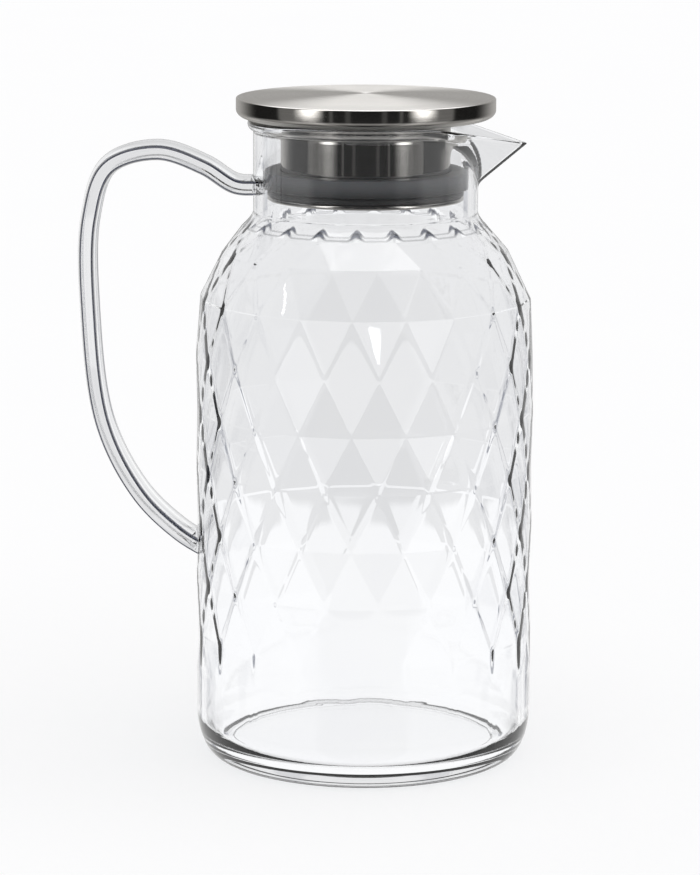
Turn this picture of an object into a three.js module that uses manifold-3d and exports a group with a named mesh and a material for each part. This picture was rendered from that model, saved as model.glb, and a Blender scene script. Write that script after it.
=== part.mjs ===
// Clear acrylic jug with a faceted body, a beak spout, a strap handle and a steel stopper lid.
// Millimetres, +Z up. The origin is the centre of the flat underside and the spout points along +X.
import * as THREE from 'three';
import { ConvexGeometry } from 'three/addons/geometries/ConvexGeometry.js';
import { mergeVertices } from 'three/addons/utils/BufferGeometryUtils.js';
import Module from 'manifold-3d';

const wasm = await Module();
wasm.setup();

// Jug body: a round lower band, then rows of triangular facets that narrow to the neck
const BODY_RADIUS = 60.2;
const HEEL_WIDTH = 7.5;
const HEEL_HEIGHT = 16.5;
const BODY_WALL = 3.0;
const FLOOR_THICKNESS = 5.0;
const FLOOR_FILLET = 10.0;
const FACETS_AROUND = 20;
const FACET_ROW_HEIGHT = 20.1;
const STRAIGHT_FACET_ROWS = 6;
const LOWEST_FACET_ROW = 45.2;
const FIRST_FACET_CORNER = THREE.MathUtils.degToRad(-4.5);
const SHOULDER_BREAK_RADIUS = 58.9;
const SHOULDER_MIDDLE_RADIUS = 50.9;
const SHOULDER_MIDDLE_RISE = 16.4;
const SHOULDER_TOP_RADIUS = 43.9;
const SHOULDER_TOP_RISE = 25.1;

// Neck and rim
const NECK_RADIUS = 39.7;
const NECK_WALL = 3.2;
const NECK_ROOT_RISE = 28.6;
const RIM_TOP = 229.0;
const RIM_LIP_HEIGHT = 3.8;
const RIM_LIP_OVERHANG = 2.0;

// Beak spout: two flat sides that meet in a keel
const SPOUT_REACH = 57.3;
const SPOUT_TIP_DROP = 8.2;
const SPOUT_MOUTH_HALF_ANGLE = THREE.MathUtils.degToRad(56);
const SPOUT_KEEL_ROOT_REACH = 40.4;
const SPOUT_KEEL_ROOT_DROP = 22.3;
const SPOUT_WALL = 2.6;
const SPOUT_CHANNEL_REACH = 1.3;

// Handle: a strap with bulged faces, bonded to the neck and to the body. Its upper route is given as
// drops below the rim and its lower route as heights above the base.
const HANDLE_WIDTH = 22.0;
const HANDLE_THICKNESS = 7.0;
const HANDLE_EDGE_THICKNESS = 4.2;
const HANDLE_EDGE_ROUNDING = 0.8;
const HANDLE_STEPS = 64;
const HANDLE_UPPER_ROUTE = [
  [-37.0, 23.6],
  [-45.8, 23.1],
  [-57.0, 16.4],
  [-73.3, 11.2],
  [-90.6, 16.6],
  [-97.2, 34.6],
];
const HANDLE_LOWER_ROUTE = [
  [-97.8, 162.0],
  [-92.9, 120.6],
  [-80.5, 95.4],
  [-66.4, 81.2],
  [-55.0, 74.0],
];

// Lid: a spun steel cap over a flat plate, with a collar that carries the seal
const LID_RADIUS = 45.8;
const LID_EDGE_ROUNDING = 0.6;
const LID_CROWN = 1.4;
const LID_SIDE_HEIGHT = 4.2;
const LID_ROLL_HEIGHT = 3.1;
const LID_SHEET = 0.8;
const LID_FOOT_RADIUS = 41.2;
const LID_FOOT_WIDTH = 3.2;
const PLATE_OVERLAP = 2.4;
const COLLAR_RADIUS = 29.9;
const COLLAR_FLARE = 3.6;
const COLLAR_BEAD_RADIUS = 34.6;
const COLLAR_BEAD_HEIGHT = 1.6;
const COLLAR_DEPTH = 28.1;

// Seal: one wide lip that wipes the neck and a smaller lip below it
const SEAL_DEPTH = 17.7;
const SEAL_UPPER_LIP_HEIGHT = 6.1;
const SEAL_LOWER_LIP_RADIUS = 34.8;
const SEAL_GROOVE_RADIUS = 33.6;
const SEAL_GROOVE_HEIGHT = 0.6;
const SEAL_LIP_CHAMFER = 0.6;

// Gaps that keep neighbouring pieces apart
const BOND_GAP = 0.3;
const SEAT_GAP = 0.3;
const SEAL_GAP = 0.3;

// Fineness of the round surfaces
const JUG_SEGMENTS = 80;
const LID_SEGMENTS = 60;
const ARC_STEPS = 2;

// Heights and radii that follow from the sizes above
const SHOULDER_BREAK = LOWEST_FACET_ROW + STRAIGHT_FACET_ROWS * FACET_ROW_HEIGHT;
const SHOULDER_MIDDLE = SHOULDER_BREAK + SHOULDER_MIDDLE_RISE;
const SHOULDER_TOP = SHOULDER_BREAK + SHOULDER_TOP_RISE;
const NECK_ROOT = SHOULDER_BREAK + NECK_ROOT_RISE;
const NECK_BORE = NECK_RADIUS - NECK_WALL;
const LID_FOOT = RIM_TOP + SEAT_GAP;
const LID_TOP = LID_FOOT + LID_ROLL_HEIGHT + LID_SIDE_HEIGHT;
const COLLAR_BOTTOM = RIM_TOP - COLLAR_DEPTH;
const SEAL_TOP = RIM_TOP - SEAL_DEPTH;

function toSolid(geometry) {
  const bare = geometry.clone();
  bare.deleteAttribute('normal');
  bare.deleteAttribute('uv');
  const merged = mergeVertices(bare, 1e-4);
  const corners = merged.index.array;
  const triangles = [];
  for (let i = 0; i < corners.length; i += 3) {
    const [a, b, c] = corners.slice(i, i + 3);
    if (a !== b && b !== c && c !== a) triangles.push(a, b, c);
  }
  return new wasm.Manifold(new wasm.Mesh({
    numProp: 3,
    vertProperties: new Float32Array(merged.attributes.position.array),
    triVerts: new Uint32Array(triangles),
  }));
}

function toGeometry(solid) {
  const mesh = solid.getMesh();
  const geometry = new THREE.BufferGeometry();
  geometry.setAttribute('position', new THREE.BufferAttribute(mesh.vertProperties, mesh.numProp));
  geometry.setIndex(new THREE.BufferAttribute(mesh.triVerts, 1));
  geometry.computeVertexNormals();
  return geometry;
}

// A round solid from a profile of radius and height, turned about +Z
function turned(profile, segments) {
  return new THREE.LatheGeometry(profile.getPoints(ARC_STEPS), segments).rotateX(Math.PI / 2);
}

// Rings of corners, each turned half a facet past the ring below, joined by flat triangles
function facetedBody(rings) {
  const points = rings.map(([radius, height]) => new THREE.Vector2(radius, height));
  const geometry = new THREE.LatheGeometry(points, FACETS_AROUND);
  const halfFacet = Math.PI / FACETS_AROUND;
  const position = geometry.attributes.position;
  const corner = new THREE.Vector3();
  const up = new THREE.Vector3(0, 1, 0);
  for (let i = 0; i < position.count; i += 1) {
    const ring = i % rings.length;
    corner.fromBufferAttribute(position, i);
    corner.applyAxisAngle(up, FIRST_FACET_CORNER + (ring - 1) * halfFacet);
    position.setXYZ(i, corner.x, corner.y, corner.z);
  }
  return geometry.rotateX(Math.PI / 2);
}

// The outside of the jug without its spout, grown by a gap where it trims the handle
function jugOutside(grow) {
  const radius = BODY_RADIUS + grow;
  const flatRadius = BODY_RADIUS - HEEL_WIDTH;
  const lowerBand = new THREE.Path()
    .moveTo(0, 0)
    .lineTo(flatRadius, 0)
    .absellipse(flatRadius, HEEL_HEIGHT, HEEL_WIDTH + grow, HEEL_HEIGHT, -Math.PI / 2, 0)
    .lineTo(radius, LOWEST_FACET_ROW)
    .lineTo(0, LOWEST_FACET_ROW);
  const rings = [[0, HEEL_HEIGHT]];
  for (let row = 0; row < STRAIGHT_FACET_ROWS; row += 1) {
    rings.push([radius, LOWEST_FACET_ROW + row * FACET_ROW_HEIGHT]);
  }
  rings.push(
    [SHOULDER_BREAK_RADIUS + grow, SHOULDER_BREAK],
    [SHOULDER_MIDDLE_RADIUS + grow, SHOULDER_MIDDLE],
    [SHOULDER_TOP_RADIUS + grow, SHOULDER_TOP],
    [NECK_RADIUS + grow, NECK_ROOT],
    [0, NECK_ROOT],
  );
  const lipRadius = RIM_LIP_HEIGHT / 2;
  const lipCentre = NECK_RADIUS + grow + RIM_LIP_OVERHANG - lipRadius;
  const neck = new THREE.Path()
    .moveTo(0, SHOULDER_BREAK)
    .lineTo(NECK_RADIUS + grow, SHOULDER_BREAK)
    .lineTo(NECK_RADIUS + grow, RIM_TOP - RIM_LIP_HEIGHT)
    .absarc(lipCentre, RIM_TOP - lipRadius, lipRadius, -Math.PI / 2, Math.PI / 2)
    .lineTo(0, RIM_TOP);
  return toSolid(turned(lowerBand, JUG_SEGMENTS))
    .add(toSolid(facetedBody(rings)))
    .add(toSolid(turned(neck, JUG_SEGMENTS)));
}

function jugCavity() {
  const bore = BODY_RADIUS - BODY_WALL;
  const profile = new THREE.Path()
    .moveTo(0, FLOOR_THICKNESS)
    .lineTo(bore - FLOOR_FILLET, FLOOR_THICKNESS)
    .absarc(bore - FLOOR_FILLET, FLOOR_THICKNESS + FLOOR_FILLET, FLOOR_FILLET, -Math.PI / 2, 0)
    .lineTo(bore, SHOULDER_BREAK - FACET_ROW_HEIGHT)
    .lineTo(SHOULDER_BREAK_RADIUS - BODY_WALL, SHOULDER_BREAK)
    .lineTo(SHOULDER_MIDDLE_RADIUS - BODY_WALL, SHOULDER_MIDDLE - BODY_WALL / 2)
    .lineTo(SHOULDER_TOP_RADIUS - BODY_WALL, SHOULDER_TOP - BODY_WALL / 2)
    .lineTo(NECK_BORE, NECK_ROOT)
    .lineTo(NECK_BORE, LID_TOP)
    .lineTo(0, LID_TOP);
  return toSolid(turned(profile, JUG_SEGMENTS));
}

// The beak's corners: its keel root, its tip and the two ends of its mouth on the rim
const rimRadius = NECK_RADIUS + RIM_LIP_OVERHANG;
const mouthX = rimRadius * Math.cos(SPOUT_MOUTH_HALF_ANGLE);
const mouthY = rimRadius * Math.sin(SPOUT_MOUTH_HALF_ANGLE);
const keelRoot = new THREE.Vector3(SPOUT_KEEL_ROOT_REACH, 0, RIM_TOP - SPOUT_KEEL_ROOT_DROP);
const spoutTip = new THREE.Vector3(SPOUT_REACH, 0, RIM_TOP - SPOUT_TIP_DROP);
const mouthEnds = [-mouthY, mouthY].map((y) => new THREE.Vector3(mouthX, y, RIM_TOP));

// A wedge from the keel root along the beak's edges; the channel's is longer and moved in by the wall
function spoutWedge(reach, shift) {
  const ends = [spoutTip, ...mouthEnds].map((end) => end.clone().sub(keelRoot).multiplyScalar(reach));
  const apex = keelRoot.clone().add(shift);
  const corners = ends.map((end) => end.add(apex));
  return toSolid(new ConvexGeometry([apex, ...corners]));
}

// How far the inside keel stands off the outside one, so that each side has its wall
function spoutInset() {
  const keel = spoutTip.clone().sub(keelRoot).normalize();
  const side = keel.clone().cross(mouthEnds[0].clone().sub(keelRoot)).normalize();
  const inward = new THREE.Vector3(-keel.z, 0, keel.x);
  return inward.multiplyScalar(SPOUT_WALL / Math.abs(side.dot(inward)));
}

// Everything above the beak's sloping top
function aboveSpout() {
  const slope = Math.atan2(SPOUT_TIP_DROP, SPOUT_REACH - mouthX);
  const size = 2 * BODY_RADIUS;
  const block = new THREE.BoxGeometry(size, size, size).translate(size / 2, 0, size / 2);
  return toSolid(block.rotateY(slope).translate(mouthX, 0, RIM_TOP));
}

function jugBody() {
  return jugOutside(0)
    .add(spoutWedge(1, new THREE.Vector3()))
    .subtract(aboveSpout())
    .subtract(jugCavity())
    .subtract(spoutWedge(SPOUT_CHANNEL_REACH, spoutInset()));
}

// The strap's section: flat edges and bulged faces, its width across the handle's plane
function strapSection() {
  const halfWidth = HANDLE_WIDTH / 2;
  const halfEdge = HANDLE_EDGE_THICKNESS / 2;
  const bulge = HANDLE_THICKNESS / 2 - halfEdge;
  const radius = (halfWidth * halfWidth + bulge * bulge) / (2 * bulge);
  const sweep = Math.asin((halfWidth - HANDLE_EDGE_ROUNDING) / radius);
  const centre = HANDLE_THICKNESS / 2 - radius;
  const right = Math.PI / 2 - sweep;
  const left = Math.PI / 2 + sweep;
  const section = new THREE.Shape();
  section.moveTo(halfWidth, -halfEdge + HANDLE_EDGE_ROUNDING);
  section.lineTo(halfWidth, halfEdge - HANDLE_EDGE_ROUNDING);
  section.absarc(0, centre, radius, right, left, false);
  section.lineTo(-halfWidth, halfEdge - HANDLE_EDGE_ROUNDING);
  section.lineTo(-halfWidth, -halfEdge + HANDLE_EDGE_ROUNDING);
  section.absarc(0, -centre, radius, right + Math.PI, left + Math.PI, false);
  section.closePath();
  return section;
}

function handle() {
  const upper = HANDLE_UPPER_ROUTE.map(([x, drop]) => new THREE.Vector3(x, 0, RIM_TOP - drop));
  const lower = HANDLE_LOWER_ROUTE.map(([x, height]) => new THREE.Vector3(x, 0, height));
  const strap = new THREE.ExtrudeGeometry(strapSection(), {
    steps: HANDLE_STEPS,
    curveSegments: ARC_STEPS,
    extrudePath: new THREE.CatmullRomCurve3([...upper, ...lower]),
  });
  return toSolid(strap).subtract(jugOutside(BOND_GAP));
}

// The cap's sheet: slightly crowned top, short side and a foot rolled in under it
function lidCap() {
  const crown = LID_TOP + LID_CROWN;
  const sideBottom = LID_TOP - LID_SIDE_HEIGHT;
  const rollWidth = LID_RADIUS - LID_FOOT_RADIUS;
  const footEnd = LID_FOOT_RADIUS - LID_FOOT_WIDTH;
  const inside = LID_RADIUS - LID_SHEET;
  const innerWidth = rollWidth - LID_SHEET;
  const innerHeight = LID_ROLL_HEIGHT - LID_SHEET;
  const topEdge = LID_RADIUS - LID_EDGE_ROUNDING;
  const profile = new THREE.Path()
    .moveTo(0, crown - LID_SHEET)
    .quadraticCurveTo(inside / 2, crown - LID_SHEET, inside, LID_TOP - LID_SHEET)
    .lineTo(inside, sideBottom)
    .absellipse(LID_FOOT_RADIUS, sideBottom, innerWidth, innerHeight, 0, -Math.PI / 2, true)
    .lineTo(footEnd, LID_FOOT + LID_SHEET)
    .lineTo(footEnd, LID_FOOT)
    .lineTo(LID_FOOT_RADIUS, LID_FOOT)
    .absellipse(LID_FOOT_RADIUS, sideBottom, rollWidth, LID_ROLL_HEIGHT, -Math.PI / 2, 0)
    .lineTo(LID_RADIUS, LID_TOP - LID_EDGE_ROUNDING)
    .absarc(topEdge, LID_TOP - LID_EDGE_ROUNDING, LID_EDGE_ROUNDING, 0, Math.PI / 2)
    .quadraticCurveTo(topEdge / 2, crown, 0, crown);
  return toSolid(turned(profile, LID_SEGMENTS));
}

// The flat plate that the cap's foot is rolled under
const PLATE_UNDERSIDE = LID_FOOT + LID_SHEET + SEAT_GAP;

function lidPlate() {
  const radius = LID_FOOT_RADIUS - LID_FOOT_WIDTH + PLATE_OVERLAP;
  const profile = new THREE.Path()
    .moveTo(0, PLATE_UNDERSIDE)
    .lineTo(radius, PLATE_UNDERSIDE)
    .lineTo(radius, PLATE_UNDERSIDE + LID_SHEET)
    .lineTo(0, PLATE_UNDERSIDE + LID_SHEET);
  return toSolid(turned(profile, LID_SEGMENTS));
}

// The collar: a tube flared out to the plate, with a rolled bead at its open lower end
function lidCollar() {
  const top = PLATE_UNDERSIDE - BOND_GAP;
  const inside = COLLAR_RADIUS - LID_SHEET;
  const beadTop = COLLAR_BOTTOM + COLLAR_BEAD_HEIGHT;
  const beadRadius = COLLAR_BEAD_HEIGHT / 2;
  const beadCentre = COLLAR_BEAD_RADIUS - beadRadius;
  const flareCentre = COLLAR_RADIUS + COLLAR_FLARE;
  const profile = new THREE.Path()
    .moveTo(inside, COLLAR_BOTTOM)
    .lineTo(beadCentre, COLLAR_BOTTOM)
    .absarc(beadCentre, COLLAR_BOTTOM + beadRadius, beadRadius, -Math.PI / 2, Math.PI / 2)
    .lineTo(COLLAR_RADIUS, beadTop)
    .lineTo(COLLAR_RADIUS, top - LID_SHEET - COLLAR_FLARE)
    .absarc(flareCentre, top - LID_SHEET - COLLAR_FLARE, COLLAR_FLARE, Math.PI, Math.PI / 2, true)
    .lineTo(flareCentre, top)
    .absarc(flareCentre, top - LID_SHEET - COLLAR_FLARE, COLLAR_FLARE + LID_SHEET, Math.PI / 2, Math.PI)
    .lineTo(inside, COLLAR_BOTTOM);
  return toSolid(turned(profile, LID_SEGMENTS));
}

function sealRing() {
  const inside = COLLAR_RADIUS + SEAL_GAP;
  const bottom = COLLAR_BOTTOM + COLLAR_BEAD_HEIGHT + SEAL_GAP;
  const upperRadius = NECK_BORE - SEAL_GAP;
  const upperBottom = SEAL_TOP - SEAL_UPPER_LIP_HEIGHT;
  const lowerTop = upperBottom - SEAL_GROOVE_HEIGHT;
  const chamfer = SEAL_LIP_CHAMFER;
  const profile = new THREE.Path()
    .moveTo(inside, bottom)
    .lineTo(SEAL_LOWER_LIP_RADIUS - chamfer, bottom)
    .lineTo(SEAL_LOWER_LIP_RADIUS, bottom + chamfer)
    .lineTo(SEAL_LOWER_LIP_RADIUS, lowerTop - chamfer)
    .lineTo(SEAL_LOWER_LIP_RADIUS - chamfer, lowerTop)
    .lineTo(SEAL_GROOVE_RADIUS, lowerTop)
    .lineTo(SEAL_GROOVE_RADIUS, upperBottom)
    .lineTo(upperRadius - chamfer, upperBottom)
    .lineTo(upperRadius, upperBottom + chamfer)
    .lineTo(upperRadius, SEAL_TOP)
    .lineTo(inside, SEAL_TOP)
    .lineTo(inside, bottom);
  return toSolid(turned(profile, LID_SEGMENTS));
}

const acrylic = { color: 0xeef2f4, roughness: 0.03, metalness: 0 };
const brushedSteel = { color: 0xa9a49c, roughness: 0.3, metalness: 1 };
const silicone = { color: 0x85888d, roughness: 0.55, metalness: 0 };

function piece(name, solid, finish) {
  const mesh = new THREE.Mesh(toGeometry(solid), new THREE.MeshStandardMaterial(finish));
  mesh.name = name;
  return mesh;
}

const jug = new THREE.Group();
jug.add(piece('jug_body', jugBody(), acrylic));
jug.add(piece('handle', handle(), acrylic));

const lid = new THREE.Group();
lid.add(piece('lid_cap', lidCap(), brushedSteel));
lid.add(piece('lid_plate', lidPlate(), brushedSteel));
lid.add(piece('lid_collar', lidCollar(), brushedSteel));
lid.add(piece('seal_ring', sealRing(), silicone));
jug.add(lid);

export default jug;
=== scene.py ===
"""Looks of the clear faceted jug with its steel stopper lid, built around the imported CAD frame."""
import math

import bpy
import numpy as np
from mathutils import Matrix, Vector
from mathutils.kdtree import KDTree


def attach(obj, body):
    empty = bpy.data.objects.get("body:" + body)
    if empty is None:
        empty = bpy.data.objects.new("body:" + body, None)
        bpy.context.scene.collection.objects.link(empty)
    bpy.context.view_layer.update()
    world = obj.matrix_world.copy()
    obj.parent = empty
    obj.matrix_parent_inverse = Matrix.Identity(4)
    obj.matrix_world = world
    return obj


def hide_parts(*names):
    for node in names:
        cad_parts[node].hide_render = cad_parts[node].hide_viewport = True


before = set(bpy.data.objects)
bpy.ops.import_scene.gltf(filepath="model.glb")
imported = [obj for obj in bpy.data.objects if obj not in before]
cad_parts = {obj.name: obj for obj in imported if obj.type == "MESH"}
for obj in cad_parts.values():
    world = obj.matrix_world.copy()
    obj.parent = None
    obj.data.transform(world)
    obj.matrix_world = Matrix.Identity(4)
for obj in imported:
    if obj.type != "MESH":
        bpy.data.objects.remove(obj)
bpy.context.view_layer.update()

MM = 0.001
DEGREES = 180 / math.pi

# Jug body, in millimetres: the CAD source's driving sizes, but with a thinner wall in the spout
BODY_RADIUS = 60.2
HEEL_WIDTH = 7.5
HEEL_HEIGHT = 16.5
BODY_WALL = 3.0
FLOOR_THICKNESS = 5.0
FLOOR_FILLET = 10.0
FOOT_RECESS_RADIUS = 47.2
FOOT_RECESS = 0.5
FOOT_RECESS_SLOPE = 0.3
FACETS_AROUND = 20
FACET_ROW_HEIGHT = 20.1
STRAIGHT_FACET_ROWS = 6
LOWEST_FACET_ROW = 45.2
FIRST_FACET_CORNER = math.radians(-4.5)
SHOULDER_BREAK = LOWEST_FACET_ROW + STRAIGHT_FACET_ROWS * FACET_ROW_HEIGHT
SHOULDER_BREAK_RADIUS = 58.9
SHOULDER_MIDDLE = SHOULDER_BREAK + 16.4
SHOULDER_MIDDLE_RADIUS = 50.9
SHOULDER_TOP = SHOULDER_BREAK + 25.1
SHOULDER_TOP_RADIUS = 43.9
NECK_RADIUS = 39.7
NECK_WALL = 3.2
NECK_BORE = NECK_RADIUS - NECK_WALL
RIM_TOP = 229.0
RIM_LIP_HEIGHT = 3.8
RIM_LIP_OVERHANG = 2.0
SPOUT_REACH = 57.3
SPOUT_TIP_DROP = 8.2
SPOUT_MOUTH_HALF_ANGLE = math.radians(56)
SPOUT_KEEL_ROOT_REACH = 40.4
SPOUT_KEEL_ROOT_DROP = 22.3
SPOUT_WALL = 1.2

# Softening of the moulded edges
RIDGE_SOFTNESS = 0.07
INNER_TOP_SOFTNESS = 0.5
LEDGE_HEIGHT = 14.0
LEDGE_FOOT = LOWEST_FACET_ROW - LEDGE_HEIGHT
NECK_FILLET_HEIGHT = 5.6
NECK_FILLET_POWER = 1.5
NECK_FOOT = SHOULDER_TOP + NECK_FILLET_HEIGHT
SPOUT_BLEND = 2.0
SPOUT_FADE_END = SPOUT_MOUTH_HALF_ANGLE * 1.1
SPOUT_FADE_START = SPOUT_MOUTH_HALF_ANGLE * 0.8
SPOUT_TIP_ROUNDING = 0.006
MOUTH_EDGE_BLEND = 4.0
LIP_START = math.radians(26)
LIP_FULL = math.radians(44)
RIM_CAP = 1.5
SPOUT_CAP = 0.5

# How far each inside ring of the straight wall stands above or below its outside ring
INNER_RING_SHIFTS = (0.0, -0.47, -0.45, 0.37, 0.37, 0.37)

# Painted shade: a dark crease line painted under the neck, standing in for dark refraction where the
# facets run out
CREASE_LINE = 191.3
CREASE_PEAK_HEIGHT = 1.8
CREASE_PEAK_HALF_ANGLE = math.radians(4.5)
CREASE_WIDTH = 0.42
CREASE_PEAK_WIDTH = 1.0
CREASE_FADE_RADIUS = 45.0
CREASE_END_RADIUS = 45.5

# Handle
HANDLE_WIDTH = 22.0
HANDLE_THICKNESS = 7.0
HANDLE_EDGE_THICKNESS = 4.2
HANDLE_EDGE_ROUNDING = 0.8
HANDLE_FACE_HALF = HANDLE_WIDTH / 2 - HANDLE_EDGE_ROUNDING
# Painted shade: dark lines on the strap's two front corners, standing in for the dark refraction at
# its edges
PAINTED_SHADE_LINE_WIDTH = 3.0
PAINTED_SHADE_LINE_GAIN = 2.5
BOND_GAP = 0.3
HANDLE_END_SHARE = 0.25
HANDLE_ROUTE = [
    (-37.0, RIM_TOP - 23.6),
    (-45.8, RIM_TOP - 23.1),
    (-57.0, RIM_TOP - 16.4),
    (-73.3, RIM_TOP - 11.2),
    (-90.6, RIM_TOP - 16.6),
    (-97.2, RIM_TOP - 34.6),
    (-97.8, 162.0),
    (-92.9, 120.6),
    (-80.5, 95.4),
    (-66.4, 81.2),
    (-55.0, 74.0),
]

# Lid and seal
LID_RADIUS = 45.8
LID_EDGE_ROUNDING = 0.6
LID_CROWN = 1.4
LID_SIDE_HEIGHT = 4.2
LID_ROLL_HEIGHT = 3.1
LID_SHEET = 0.8
LID_FOOT_RADIUS = 41.2
LID_FOOT_WIDTH = 3.2
SEAT_GAP = 0.3
LID_FOOT = RIM_TOP + SEAT_GAP
LID_TOP = LID_FOOT + LID_ROLL_HEIGHT + LID_SIDE_HEIGHT
PLATE_OVERLAP = 2.4
PLATE_EDGE = 0.2
PLATE_UNDERSIDE = LID_FOOT + LID_SHEET + SEAT_GAP
COLLAR_RADIUS = 29.9
COLLAR_FLARE = 3.6
COLLAR_BEAD_RADIUS = 34.6
COLLAR_BEAD_HEIGHT = 1.6
COLLAR_CHAMFER = 0.4
COLLAR_BOTTOM = RIM_TOP - 28.1
SEAL_TOP = RIM_TOP - 17.7
SEAL_UPPER_LIP_HEIGHT = 6.1
SEAL_LOWER_LIP_RADIUS = 34.8
SEAL_GROOVE_RADIUS = 33.6
SEAL_GROOVE_HEIGHT = 0.6
SEAL_GAP = 0.3
SEAL_EDGE_ROUNDING = 0.6
SEAL_CHAMFER = 0.3

# Density of the meshes
WELD_STEPS_PER_MM = 2000
LATHE_SEGMENTS = 192
RIDGE_COLUMNS = np.array([0.0, 0.25, 0.55, 0.95, 1.5])
FLAT_COLUMNS = 4
NARROW_SHARE = 0.49
NO_WIDTH = 1e-6
ROW_STEPS = np.array([0.0, 0.03, 0.08, 0.16, 0.32, 0.5, 0.68, 0.84, 0.92, 0.97, 1.0])
# Degrees from the keel, then an even step in degrees with a small turn in radians
BEAK_COLUMNS = [0.0, 0.15, 0.3, 0.5, 0.8, 1.2, 1.8, 2.6, 3.6, 5, 6.5, 8, 10, 12]
NECK_COLUMN_STEP = 2.0
NECK_COLUMN_TURN = 0.011
SUPPORT_INSET = 1.0
NECK_ROWS = 24
LIP_ROWS = 7
EDGE_ROWS = 15
BORE_ROWS = 20
FILLET_ROWS = 15
LEDGE_ROWS = 9
BAND_ROWS = 5
HEEL_STEPS = 24
FLOOR_FILLET_STEPS = 16
DISC_RADII = (40.0, 20.0, 0.0)
STRAP_ROWS = 150
STRAP_FACE_POINTS = 17
STRAP_CORNER_STEPS = 6
STRAP_EDGE_SHARES = (0.94, 0.4, -0.4, -0.94)
CROWN_SHARES = (0.97, 0.9, 0.8, 0.65, 0.5, 0.35, 0.2, 0.1, 0.0005)
PLATE_RADII = (0.02, 20.0)
HALVINGS = 30


def add_object(name, data):
    added = bpy.data.objects.new(name, data)
    bpy.context.scene.collection.objects.link(added)
    return added


def smooth_max(a, b, width):
    """The larger of two heights, with a rounded changeover of that width."""
    near = np.maximum(width - np.abs(a - b), 0.0) / width
    return np.maximum(a, b) + near * near * width / 4


def smooth_step(low, high, x):
    t = np.clip((x - low) / (high - low), 0.0, 1.0)
    return t * t * (3 - 2 * t)


def arc(centre_r, centre_z, radius_r, radius_z, start, end, steps):
    """Points of an elliptic arc in the radius and height plane, angles in degrees."""
    angles = np.radians(np.linspace(start, end, steps + 1))
    return [(centre_r + radius_r * math.cos(a), centre_z + radius_z * math.sin(a)) for a in angles]


def new_mesh(name, points, faces):
    mesh = bpy.data.meshes.new(name)
    mesh.from_pydata([tuple(p) for p in points], [], faces)
    mesh.shade_smooth()
    return add_object(name, mesh)


def patch(points, normals=None):
    """The quads of a grid of points: corner places, and corner normals or zeros for the mesh's own."""
    four = [points[:-1, :-1], points[:-1, 1:], points[1:, 1:], points[1:, :-1]]
    corners = np.stack(four, 2).reshape(-1, 4, 3)
    if normals is None:
        return corners, np.zeros_like(corners)
    return corners, normals(corners)


def weld(name, patches):
    """One mesh from patches, with shared corners joined and the given corner normals kept."""
    corners = np.concatenate([c for c, _ in patches])
    normals = np.concatenate([n for _, n in patches])
    keys = np.round(corners.reshape(-1, 3) * WELD_STEPS_PER_MM).astype(np.int64)
    _, first, index = np.unique(keys, axis=0, return_index=True, return_inverse=True)
    points = corners.reshape(-1, 3)[first] * MM
    faces = []
    kept = []
    for quad, four in zip(index.reshape(-1, 4), normals):
        sides = [i for i in range(4) if quad[i] != quad[i - 1]]
        if len(set(quad[i] for i in sides)) < 3:
            continue
        faces.append([int(quad[i]) for i in sides])
        kept += [tuple(four[i]) for i in sides]
    piece = new_mesh(name, points, faces)
    piece.data.normals_split_custom_set(kept)
    return piece


def closed_rows(rows):
    grid = np.stack(rows)
    return np.concatenate([grid, grid[:, :1]], 1)


def skin(name, rows, start_pole=None, end_pole=None, closed=False):
    """A mesh over closed rings of points; a pole closes an end, or the last ring joins the first."""
    rings = list(rows)
    if closed:
        rings.append(rows[0])
    if start_pole is not None:
        rings.insert(0, np.repeat(np.array([start_pole]), len(rows[0]), 0))
    if end_pole is not None:
        rings.append(np.repeat(np.array([end_pole]), len(rows[0]), 0))
    return weld(name, [patch(closed_rows(rings))])


def turned(name, profile):
    """A round piece from a closed profile of radius and height."""
    angles = np.linspace(0, 2 * math.pi, LATHE_SEGMENTS, endpoint=False)
    rows = [ring(angles, r, z) for r, z in profile]
    return skin(name, rows, closed=True)


def ring(angle, radius, z):
    height = np.broadcast_to(z, angle.shape)
    return np.stack([radius * np.cos(angle), radius * np.sin(angle), height], 1)


# Faceted wall: rings of corners, each turned half a facet past the ring below
HALF_FACET = math.pi / FACETS_AROUND
RINGS = [(LOWEST_FACET_ROW + i * FACET_ROW_HEIGHT, BODY_RADIUS) for i in range(STRAIGHT_FACET_ROWS)]
RINGS += [
    (SHOULDER_BREAK, SHOULDER_BREAK_RADIUS),
    (SHOULDER_MIDDLE, SHOULDER_MIDDLE_RADIUS),
    (SHOULDER_TOP, SHOULDER_TOP_RADIUS),
]
# Lean of the wall at the shoulder's rings, for an inside wall at one distance
SHOULDER_LEANS = (math.radians(15), math.radians(32), math.radians(44))
INNER_RINGS = [
    (z + shift, r - BODY_WALL)
    for (z, r), shift in zip(RINGS[:STRAIGHT_FACET_ROWS], INNER_RING_SHIFTS)
]
INNER_RINGS += [
    (z - BODY_WALL * math.sin(lean), r - BODY_WALL * math.cos(lean))
    for (z, r), lean in zip(RINGS[STRAIGHT_FACET_ROWS:], SHOULDER_LEANS)
]
INNER_SMOOTH_START = INNER_RINGS[-2][0]


def softness(rings, z):
    """Rounding of the ridges: small, but the inside melts into the smooth neck at the top."""
    if rings is RINGS:
        return np.full_like(z, RIDGE_SOFTNESS)
    share = smooth_step(INNER_SMOOTH_START, rings[-1][0], z)
    return RIDGE_SOFTNESS + (INNER_TOP_SOFTNESS - RIDGE_SOFTNESS) * share


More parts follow.
